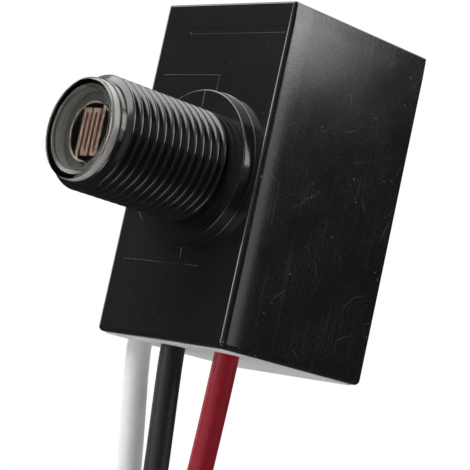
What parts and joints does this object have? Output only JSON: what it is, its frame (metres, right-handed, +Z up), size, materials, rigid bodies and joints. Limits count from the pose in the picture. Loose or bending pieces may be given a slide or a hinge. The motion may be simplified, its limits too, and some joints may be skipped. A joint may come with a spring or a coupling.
{
  "type": "photocell switch",
  "caption": "Dusk-to-dawn photocell switch: a black moulded box with a threaded nipple that holds a light cell behind a clear lens, with three leads hanging from its potted base.",
  "frame": {"origin": "centre of the collar's seating face, on the nipple's axis", "axes": "-Y out along the nipple, from the collar towards the lens; +Z up, away from the leads; +X to the right, seen from the lens"},
  "size_m": [0.0356, 0.065, 0.2159],
  "materials": {
    "casing_plastic": "moulded black plastic, satin gloss with fine scuffs",
    "clear_plastic": "clear moulded plastic",
    "holder_plastic": "dark grey moulded plastic",
    "ceramic": "unglazed white ceramic",
    "cell_film": "brown light-sensitive film",
    "tinned_metal": "tinned copper wire",
    "clear_coat": "clear resin coat",
    "sleeve_plastic": "thin plastic sleeving",
    "board_laminate": "phenolic paper laminate",
    "relay_plastic": "moulded blue plastic",
    "film_capacitor_plastic": "moulded yellow plastic",
    "can_sleeve": "shrunk plastic sleeve",
    "varistor_coat": "dipped blue coating",
    "black_epoxy": "moulded black epoxy",
    "resistor_coat": "baked tan coating",
    "diode_glass": "tinted glass body",
    "solder": "bright solder",
    "card_fibre": "pressed fibre card",
    "potting_resin": "pale grey cast resin",
    "white_insulation": "white extruded lead insulation",
    "black_insulation": "black extruded lead insulation",
    "red_insulation": "red extruded lead insulation",
    "copper_strands": "bare stranded copper"
  },
  "bodies": {
    "root": {"casing": "casing_plastic", "lens": "clear_plastic", "cell_holder": "holder_plastic", "cell_disc": "ceramic", "cell_film": "cell_film", "cell_electrode_top": "tinned_metal", "cell_electrode_bottom": "tinned_metal", "cell_coat": "clear_coat", "cell_wire_left": "tinned_metal", "cell_wire_right": "tinned_metal", "cell_sleeve_left": "sleeve_plastic", "cell_sleeve_right": "sleeve_plastic", "circuit_board": "board_laminate", "relay": "relay_plastic", "relay_pins": "tinned_metal", "film_capacitor": "film_capacitor_plastic", "film_capacitor_wires": "tinned_metal", "smoothing_capacitor": "can_sleeve", "smoothing_capacitor_wires": "tinned_metal", "delay_capacitor": "can_sleeve", "delay_capacitor_wires": "tinned_metal", "varistor": "varistor_coat", "varistor_wires": "tinned_metal", "bridge_rectifier": "black_epoxy", "bridge_pins": "tinned_metal", "transistor": "black_epoxy", "transistor_wires": "tinned_metal", "surge_resistor": "resistor_coat", "surge_resistor_wires": "tinned_metal", "base_resistor": "resistor_coat", "base_resistor_wires": "tinned_metal", "sense_resistor": "resistor_coat", "sense_resistor_wires": "tinned_metal", "zener_diode": "diode_glass", "zener_diode_wires": "tinned_metal", "solder_joints": "solder", "sealing_card": "card_fibre", "potting": "potting_resin", "white_lead": "white_insulation", "white_inner_end": "copper_strands", "white_stripped_end": "copper_strands", "black_lead": "black_insulation", "black_inner_end": "copper_strands", "black_stripped_end": "copper_strands", "red_lead": "red_insulation", "red_inner_end": "copper_strands", "red_stripped_end": "copper_strands"}
  },
  "joints": []
}
